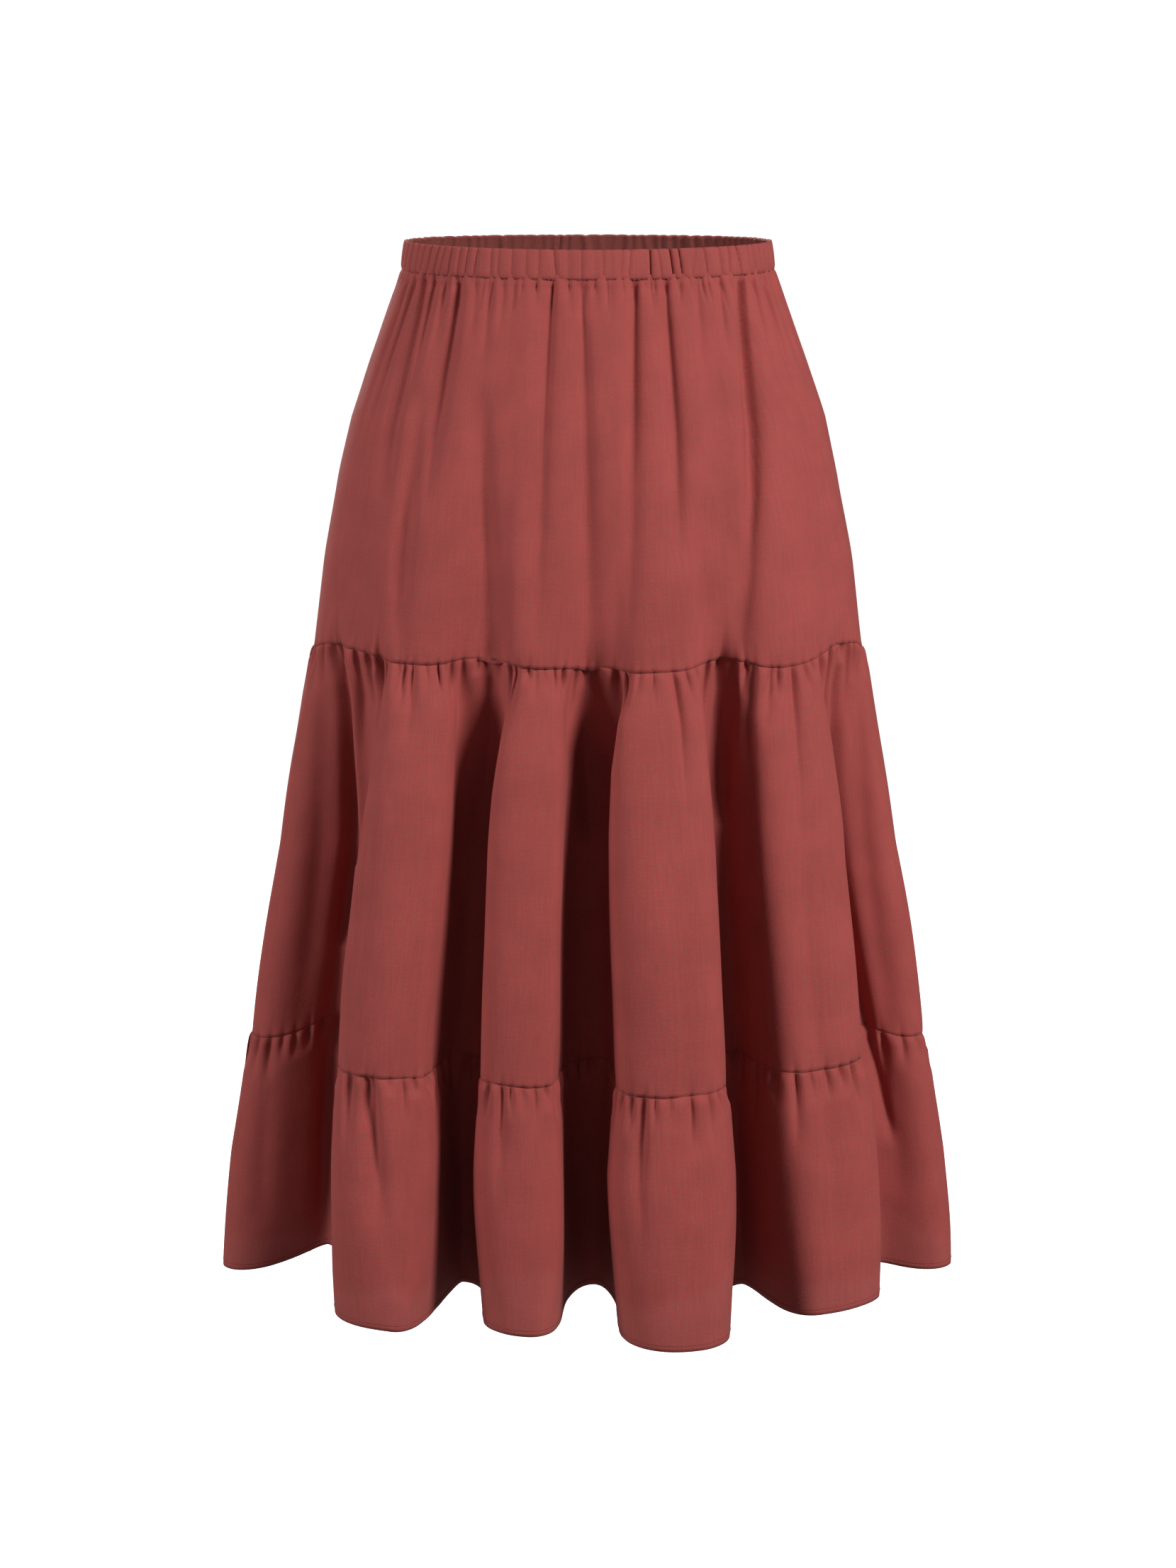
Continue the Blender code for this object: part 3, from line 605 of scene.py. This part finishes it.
def out_of_hip_tier(turns, levels, down):
    """How far the hip tier lies out from its plain form: in at each gather below the band."""
    angles = folds_at(turns, levels)[0]
    gathered = np.stack([band_gather_depth(row, level) for row, level in zip(angles, levels)])
    return -gathered - SEAM_PINCH * np.exp(-np.maximum(down, 0.0) / 0.0015)[:, None]


def out_of_gathered_tier(number, turns, across, rows, levels, down):
    """How far a lower tier lies out from its plain form: in at its gathers and folds, and full between."""
    gathered = evened(gather_depth(gathers_of(number), turns, across, down))
    folded = fold_depth(LONG_FOLDS, turns, across, levels)
    emerging = 1.0 - np.exp(-np.maximum(down, 0.0) / 0.0025)
    puff = PUFF[number] * emerging * np.exp(-down / 0.045)
    billow = BILLOW[number] * np.sin(np.pi * np.clip(rows, 0.0, 1.0)) ** 0.8
    return (puff + billow - np.where(rows < 0.0, TUCK_IN, SEAM_STEP))[:, None] - gathered - folded


def edge_drawn_in(number, turns, across, rows):
    """How far the tier sewn on below draws a tier's lower edge in with its gathers and folds."""
    above = (1.0 - rows) * cut_of(number)
    pucker = evened(gather_depth(gathers_of(number + 1), turns, across, np.zeros(len(rows))))
    drawn = 0.9 * pucker * np.exp(-above / 0.005)[:, None]
    if number == 1:
        pull = fold_depth(LONG_FOLDS, turns, across, np.ones(len(rows)))
        drawn += pull * np.exp(-above / 0.014)[:, None]
    return drawn


def tier_points(number, turns, rows):
    """The finished surface of one tier, its cloth places in metres and its outward normals."""
    tuck = TUCK / cut_of(number)
    rows = np.concatenate([[-tuck, -0.4 * tuck], rows])
    levels = np.maximum(number - 1 + rows, 0.0)
    points = cloth(turns, levels)
    if number == 1:
        points[0, :, 2] += BAND_TUCK
        points[1, :, 2] += BAND_TUCK / 2.0
    normals = normals_of(points)
    across = across_cloth(points)
    down = rows * cut_of(number)
    if number == 1:
        out = out_of_hip_tier(turns, levels, down)
    else:
        out = out_of_gathered_tier(number, turns, across, rows, levels, down)
    if number < 3:
        out -= edge_drawn_in(number, turns, across, rows)
    out += flutter(points, BROAD_SIZE, BROAD_FLUTTER[number]) * smooth_step(rows * 4.0)[:, None]
    out += flutter(points, FINE_SIZE, FINE_FLUTTER) * smooth_step(rows * 6.0)[:, None]
    from_side_seam = np.minimum(across, across[:, -1:] - across)
    out -= SEAM_PINCH * np.exp(-((from_side_seam / 0.0016) ** 2))
    points = points + normals * out[..., None]
    width = FLAT_WIDTHS[number] * (turns / len(FOLDS))
    places = np.stack(np.broadcast_arrays(width[None, :], down[:, None]), axis=-1)
    return points, places, normals_of(points)


# ---- stitches ----------------------------------------------------------------------------------------------


def stitches(name, line, normals, stitching, material):
    """A row of small thread stitches along a line on the cloth."""
    length, gap, radius = stitching
    travel = np.concatenate([[0.0], np.cumsum(np.linalg.norm(np.diff(line, axis=0), axis=1))])
    build = bmesh.new()
    for start in np.arange(gap, travel[-1] - length, length + gap):
        ends = [
            Vector([np.interp(place, travel, axis) for axis in line.T]) for place in (start, start + length)
        ]
        middle = start + length / 2.0
        lift = Vector([np.interp(middle, travel, axis) for axis in normals.T]).normalized()
        turn = (ends[1] - ends[0]).to_track_quat("Z", "Y").to_matrix().to_4x4()
        centre = (ends[0] + ends[1]) / 2.0 + lift * radius * 0.4
        bmesh.ops.create_cone(
            build,
            cap_ends=True,
            segments=6,
            radius1=radius,
            radius2=radius,
            depth=(ends[1] - ends[0]).length,
            matrix=Matrix.Translation(centre) @ turn,
        )
    mesh = bpy.data.meshes.new(name)
    build.to_mesh(mesh)
    build.free()
    mesh.materials.append(material)
    piece = bpy.data.objects.new(name, mesh)
    bpy.context.scene.collection.objects.link(piece)
    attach(piece, "root")
    return piece


# ---- materials ---------------------------------------------------------------------------------------------

BRICK = (0.328, 0.0465, 0.043, 1.0)
BRICK_FLECK = (0.240, 0.078, 0.061, 1.0)
BAND_BRICK = (0.308, 0.0455, 0.042, 1.0)
# inner faces: the crepe's wrong side, partly its own duller colour and partly darkened further as painted
# shade
WRONG_SIDE_AND_SHADE = (0.170, 0.026, 0.023, 1.0)
WRONG_SIDE_AND_SHADE_FLECK = (0.150, 0.062, 0.045, 1.0)
THREAD_DARK = (0.17, 0.022, 0.022, 1.0)
THREAD_LIGHT = (0.26, 0.040, 0.036, 1.0)
# painted light: near the hem the base colour is mixed towards LIGHT_THROUGH, for light that shines through
# the single layer
LIGHT_THROUGH = (0.62, 0.30, 0.28, 1.0)
HEM_LIGHT_TOP = 0.042  # where the light through the single layer begins and is full, above the hem
HEM_LIGHT_FOOT = 0.028
HEM_LIGHT_SHARE = 0.035


class Nodes:
    """Short ways to place and join nodes in one tree."""

    def __init__(self, tree):
        self.tree = tree

    def add(self, kind, inputs=None, **settings):
        node = self.tree.nodes.new(kind)
        for name, value in settings.items():
            setattr(node, name, value)
        for socket, value in (inputs or {}).items():
            if isinstance(value, bpy.types.NodeSocket):
                self.tree.links.new(value, node.inputs[socket])
            else:
                node.inputs[socket].default_value = value
        return node

    def noise(self, place, size, detail=2.0, roughness=0.55):
        """Noise whose features are about size metres: one number, or one across and one down."""
        across, down = size if isinstance(size, tuple) else (size, size)
        scaled = self.add(
            "ShaderNodeMapping", {"Vector": place, "Scale": (1.0 / across, 1.0 / down, 1.0)}
        )
        return self.add(
            "ShaderNodeTexNoise",
            {"Vector": scaled.outputs[0], "Scale": 1.0, "Detail": detail, "Roughness": roughness},
        ).outputs["Fac"]

    def maths(self, operation, first, second):
        return self.add("ShaderNodeMath", {0: first, 1: second}, operation=operation).outputs[0]

    def stretch(self, value, low, high, start, end):
        """A value that goes softly from start to end as the given one goes from low to high."""
        return self.add(
            "ShaderNodeMapRange",
            {"Value": value, "From Min": low, "From Max": high, "To Min": start, "To Max": end},
            interpolation_type="SMOOTHSTEP",
        ).outputs[0]

    def blend(self, share, first, second, kind="MIX"):
        """Two colours mixed. Their sockets go by place, because the node's names repeat."""
        return self.add(
            "ShaderNodeMix", {0: share, 6: first, 7: second}, data_type="RGBA", blend_type=kind
        ).outputs[2]


def new_group(name, inputs, outputs):
    tree = bpy.data.node_groups.new(name, "ShaderNodeTree")
    for label, kind in inputs:
        tree.interface.new_socket(label, in_out="INPUT", socket_type=kind)
    for label, kind in outputs:
        tree.interface.new_socket(label, in_out="OUTPUT", socket_type=kind)
    nodes = Nodes(tree)
    return nodes, nodes.add("NodeGroupInput"), nodes.add("NodeGroupOutput")


def crepe_weave():
    """Yarn-dyed crepe: brick ground with grey-brown flecks, faint slubs both ways, and its pebbled grain."""
    nodes, given, result = new_group(
        "crepe weave",
        (("Place", "NodeSocketVector"), ("Ground", "NodeSocketColor"), ("Fleck", "NodeSocketColor")),
        (("Colour", "NodeSocketColor"), ("Roughness", "NodeSocketFloat"), ("Height", "NodeSocketFloat")),
    )
    place = given.outputs["Place"]
    flecks = nodes.noise(place, (0.0014, 0.0020), 3.0, 0.75)
    slubs = nodes.noise(place, (0.0012, 0.030), 2.0)
    picks = nodes.noise(place, (0.022, 0.0010), 2.0)
    mottle = nodes.noise(place, 0.035, 3.0)
    share = nodes.stretch(flecks, 0.42, 0.66, 0.0, 0.75)
    colour = nodes.blend(share, given.outputs["Ground"], given.outputs["Fleck"])
    slub_tone = nodes.stretch(slubs, 0.3, 0.7, 0.95, 1.04)
    lines = nodes.maths("ADD", slub_tone, nodes.stretch(picks, 0.3, 0.7, -0.02, 0.02))
    tone = nodes.maths("MULTIPLY", lines, nodes.stretch(mottle, 0.3, 0.7, 0.95, 1.05))
    grey = nodes.add("ShaderNodeCombineColor", {"Red": tone, "Green": tone, "Blue": tone})
    nodes.tree.links.new(
        nodes.blend(1.0, colour, grey.outputs[0], "MULTIPLY"), result.inputs["Colour"]
    )
    nodes.tree.links.new(nodes.stretch(flecks, 0.3, 0.7, 0.78, 0.92), result.inputs["Roughness"])
    pebble = nodes.noise(place, (0.0009, 0.0012), 2.0, 0.6)
    grain = nodes.maths("MULTIPLY", pebble, 0.85)
    height = nodes.maths("ADD", grain, nodes.maths("MULTIPLY", slubs, 0.30))
    nodes.tree.links.new(height, result.inputs["Height"])
    return nodes.tree


def hem_light():
    """How much painted light through the single layer just above the hem lightens the base colour, from 0 to
    1.
    """
    nodes, given, result = new_group(
        "light through the hem", (("Place", "NodeSocketVector"),), (("Mask", "NodeSocketFloat"),)
    )
    place = given.outputs["Place"]
    split = nodes.add("ShaderNodeSeparateXYZ", {0: place})
    wobble = nodes.stretch(nodes.noise(place, (0.09, 0.5), 1.0), 0.3, 0.7, -0.016, 0.016)
    down = nodes.maths("ADD", split.outputs["Y"], wobble)
    mask = nodes.stretch(down, TIER_3_CUT - HEM_LIGHT_TOP, TIER_3_CUT - HEM_LIGHT_FOOT, 0.0, 1.0)
    nodes.tree.links.new(mask, result.inputs["Mask"])
    return nodes.tree


def crepe_material(name, weave, ground, fleck, light=None):
    material = bpy.data.materials.new(name)
    material.use_nodes = True
    nodes = Nodes(material.node_tree)
    shader = material.node_tree.nodes["Principled BSDF"]
    place = nodes.add("ShaderNodeUVMap", uv_map="cloth").outputs[0]
    cloth_group = nodes.add("ShaderNodeGroup", node_tree=weave)
    nodes.tree.links.new(place, cloth_group.inputs["Place"])
    cloth_group.inputs["Ground"].default_value = ground
    cloth_group.inputs["Fleck"].default_value = fleck
    colour = cloth_group.outputs["Colour"]
    # painted light: the base colour is lightened towards LIGHT_THROUGH just above the hem
    if light:
        through = nodes.add("ShaderNodeGroup", node_tree=light)
        nodes.tree.links.new(place, through.inputs["Place"])
        share = nodes.maths("MULTIPLY", through.outputs["Mask"], HEM_LIGHT_SHARE)
        colour = nodes.blend(share, colour, LIGHT_THROUGH)
    nodes.tree.links.new(colour, shader.inputs["Base Color"])
    nodes.tree.links.new(cloth_group.outputs["Roughness"], shader.inputs["Roughness"])
    bump = nodes.add(
        "ShaderNodeBump", {"Strength": 0.55, "Distance": 0.0004, "Height": cloth_group.outputs["Height"]}
    )
    nodes.tree.links.new(bump.outputs[0], shader.inputs["Normal"])
    shader.inputs["Specular IOR Level"].default_value = 0.3
    shader.inputs["Sheen Weight"].default_value = 0.06
    shader.inputs["Sheen Roughness"].default_value = 0.5
    shader.inputs["Sheen Tint"].default_value = (0.95, 0.60, 0.52, 1.0)
    return material


def thread_material():
    material = bpy.data.materials.new("brick thread")
    material.use_nodes = True
    nodes = Nodes(material.node_tree)
    shader = material.node_tree.nodes["Principled BSDF"]
    place = nodes.add("ShaderNodeTexCoord").outputs["Object"]
    twist = nodes.noise(place, 0.0006, 2.0)
    tone = nodes.stretch(twist, 0.3, 0.7, 0.0, 1.0)
    colour = nodes.blend(tone, THREAD_DARK, THREAD_LIGHT)
    nodes.tree.links.new(colour, shader.inputs["Base Color"])
    nodes.tree.links.new(nodes.stretch(twist, 0.3, 0.7, 0.5, 0.7), shader.inputs["Roughness"])
    return material


# ---- build -------------------------------------------------------------------------------------------------

HALVES = {"front": (FRONT_START, FRONT_END), "back": (FRONT_END, len(FOLDS))}
# each tier's mesh: how many columns and rows, how much closer the rows are near its two seams, and the levels
# where its columns are spaced evenly on the average
TierGrid = namedtuple("TierGrid", "columns rows top_crowd foot_crowd even_at")
TIER_GRIDS = {
    1: TierGrid(540, 44, 3.0, 2.0, (0.0, 0.5, 1.0)),
    2: TierGrid(800, 52, 5.0, 2.0, (1.0, 1.5, 2.0)),
    3: TierGrid(840, 42, 4.0, 1.5, (2.0, 2.5, 3.0)),
}
BAND_COLUMNS = 440
BAND_ROWS = 14


def build_tier(number, half, materials, thread):
    grid = TIER_GRIDS[number]
    turns = even_turns(*HALVES[half], grid.columns, grid.even_at)
    rows = tier_rows(grid.rows, grid.top_crowd, grid.foot_crowd)
    if number == 3:
        rows = np.sort(np.append(rows, 1.0 - HEM_FOLD / TIER_3_CUT))
    points, places, normals = tier_points(number, turns, rows)
    node = f"tier_{number}_{half}"
    piece = grid_piece(f"{node}_cloth", points, places, materials, CREPE)
    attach(piece, "root")
    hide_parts(node)
    if number == 3:
        hem = int(np.argmin(abs(places[:, 0, 1] - (TIER_3_CUT - HEM_FOLD))))
        line = points[hem] + normals[hem] * CREPE / 2.0
        stitches(f"hem_stitches_{half}", line, normals[hem], HEM_STITCHING, thread)


def ribs_of(half):
    """Grooves of one half of the band: listed one by one in front, and unevenly by rule behind."""
    if half == "front":
        return list(FRONT_RIBS)
    dice = random.Random(RIB_SEED)
    at = 92.0
    found = []
    while at < 268.0:
        deep = dice.random() < 0.18
        found.append(
            Rib(
                at=at,
                slant=dice.uniform(-1.5, 1.5),
                depth=dice.uniform(1.3, 1.8) if deep else dice.uniform(0.5, 1.1),
                width=dice.uniform(0.9, 1.3),
            )
        )
        at += dice.uniform(2.6, 5.6)
    return found


def build_band(half, materials, thread):
    turns = even_turns(*HALVES[half], BAND_COLUMNS, (0.0,))
    angle = folds_at(turns, 0.0)[0][0]
    rows = np.linspace(0.0, 1.0, BAND_ROWS + 1)
    around = across_cloth(np.stack([*ring(angle, 0.0, 0.0), np.zeros_like(angle)], axis=-1)[None])[0]
    degrees = np.degrees(np.unwrap(angle))
    points = []
    for down in rows:
        groove = np.zeros_like(angle)
        for rib in ribs_of(half):
            centre = np.interp(rib.at + rib.slant * (0.5 - down), degrees, around)
            across = trough(around - centre, RIB_WIDTH * rib.width / 1000.0, 0.0)
            groove += RIB_DEPTH * rib.depth / 1000.0 * across
        above_foot = (1.0 - down) * BAND_HEIGHT
        plump = 0.0006 * math.sin(math.pi * down) ** 0.5
        pinch = 0.0007 * math.exp(-((above_foot / 0.0015) ** 2))
        out = plump - pinch - groove * (1.0 - 0.25 * math.exp(-above_foot / 0.002))
        x, y = ring(angle, out - CASING / 2.0 - BAND_FLARE * (1.0 - down), 0.0)
        scallop = 0.33 * groove * math.exp(-down * BAND_HEIGHT / 0.0015)
        z = band_top(angle) - BAND_HEIGHT * down - scallop
        points.append(np.stack([x, y, z], axis=-1))
    points = np.stack(points)
    width = FLAT_WIDTHS[1] * (turns / len(FOLDS))
    places = np.stack(np.broadcast_arrays(width[None, :], (rows * BAND_HEIGHT)[:, None]), axis=-1)
    piece = grid_piece(f"waistband_{half}_casing", points, places, materials, CASING)
    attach(piece, "root")
    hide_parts(f"waistband_{half}")
    normals = normals_of(points)
    line = points[-1] + normals[-1] * (CASING / 2.0)
    row = stitches(f"band_stitches_{half}", line, normals[-1], BAND_STITCHING, thread)


def build_skirt():
    weave = crepe_weave()
    crepe = crepe_material("brick crepe", weave, BRICK, BRICK_FLECK)
    ruffle = crepe_material("brick crepe, painted light through the hem", weave, BRICK, BRICK_FLECK, hem_light())
    casing = crepe_material("brick crepe on elastic", weave, BAND_BRICK, BRICK_FLECK)
    # the inner faces get a darker crepe: partly the wrong side's own colour, partly painted shade
    wrong_side_and_shade = crepe_material("brick crepe, wrong side with painted shade", weave, WRONG_SIDE_AND_SHADE, WRONG_SIDE_AND_SHADE_FLECK)
    thread = thread_material()
    for half in HALVES:
        build_band(half, (casing, wrong_side_and_shade), thread)
        for number in (1, 2, 3):
            build_tier(number, half, (ruffle if number == 3 else crepe, wrong_side_and_shade), thread)


# ---- floor, light and camera -------------------------------------------------------------------------------

FLOOR = -1.05  # the band is worn about this high above the floor
ROOM_RADIUS = 5.0
ROOM_HEIGHT = 8.0
ROOM_GLOW = 0.72
SWEEP = 1.5  # radius of the bend from the floor up into the wall
SWEEP_STEPS = 12

MIDDLE = (0.0, 0.0, -0.36)  # where every lamp points
SoftBox = namedtuple("SoftBox", "name place size power")
SOFT_BOXES = (
    SoftBox("key soft box", (2.1, -1.9, 1.0), 1.0, 100),
    SoftBox("fill soft box", (-2.6, -1.15, 0.6), 1.3, 54),
    SoftBox("back soft box", (-0.9, 2.7, 0.9), 1.4, 60),
)
SKY = 0.16  # strength of the even light from all round

CAMERA_PLACE = (0.0, -2.6, 0.10)
CAMERA_TILT = 10.515  # degrees down
LENS = 83.36  # millimetres, on a sensor this wide
SENSOR = 36.0


def build_stage():
    """A pale floor that sweeps up into a pale wall all round, lit evenly, and giving the skirt no light."""
    material = bpy.data.materials.new("pale room")
    material.use_nodes = True
    shader = material.node_tree.nodes["Principled BSDF"]
    shader.inputs["Base Color"].default_value = (0.90, 0.90, 0.90, 1.0)
    shader.inputs["Roughness"].default_value = 0.95
    shader.inputs["Emission Color"].default_value = (1.0, 1.0, 1.0, 1.0)
    shader.inputs["Emission Strength"].default_value = ROOM_GLOW
    build = bmesh.new()
    outline = [(0.0, FLOOR)]
    for step in range(SWEEP_STEPS + 1):
        turn = math.pi / 2.0 * step / SWEEP_STEPS
        outline.append(
            (ROOM_RADIUS - SWEEP + SWEEP * math.sin(turn), FLOOR + SWEEP * (1.0 - math.cos(turn)))
        )
    outline.append((ROOM_RADIUS, FLOOR + ROOM_HEIGHT))
    verts = [build.verts.new((out, 0.0, up)) for out, up in outline]
    edges = [build.edges.new(pair) for pair in zip(verts, verts[1:])]
    bmesh.ops.spin(
        build,
        geom=verts + edges,
        cent=(0.0, 0.0, 0.0),
        axis=(0.0, 0.0, 1.0),
        angle=2.0 * math.pi,
        steps=64,
        use_merge=True,
    )
    bmesh.ops.remove_doubles(build, verts=build.verts[:], dist=0.0001)
    bmesh.ops.recalc_face_normals(build, faces=build.faces[:])
    mesh = bpy.data.meshes.new("pale room")
    build.to_mesh(mesh)
    build.free()
    mesh.shade_smooth()
    mesh.materials.append(material)
    room = bpy.data.objects.new("pale_room", mesh)
    bpy.context.scene.collection.objects.link(room)
    room.visible_diffuse = False
    room.visible_glossy = False
    room.visible_shadow = False


def build_lights():
    world = bpy.data.worlds.new("studio")
    world.use_nodes = True
    world.node_tree.nodes["Background"].inputs["Color"].default_value = (1.0, 1.0, 1.0, 1.0)
    world.node_tree.nodes["Background"].inputs["Strength"].default_value = SKY
    bpy.context.scene.world = world
    for box in SOFT_BOXES:
        light = bpy.data.lights.new(box.name, "AREA")
        light.shape = "DISK"
        light.size = box.size
        light.energy = box.power
        lamp = bpy.data.objects.new(box.name, light)
        lamp.location = box.place
        lamp.rotation_euler = (Vector(MIDDLE) - Vector(box.place)).to_track_quat("-Z", "Y").to_euler()
        bpy.context.scene.collection.objects.link(lamp)


def build_camera():
    camera = bpy.data.cameras.new("camera")
    camera.lens = LENS
    camera.sensor_width = SENSOR
    holder = bpy.data.objects.new("camera", camera)
    holder.location = CAMERA_PLACE
    holder.rotation_euler = (math.radians(90.0 - CAMERA_TILT), 0.0, 0.0)
    bpy.context.scene.collection.objects.link(holder)
    bpy.context.scene.camera = holder
    bpy.context.scene.view_settings.view_transform = "Standard"


build_skirt()
build_stage()
build_lights()
build_camera()
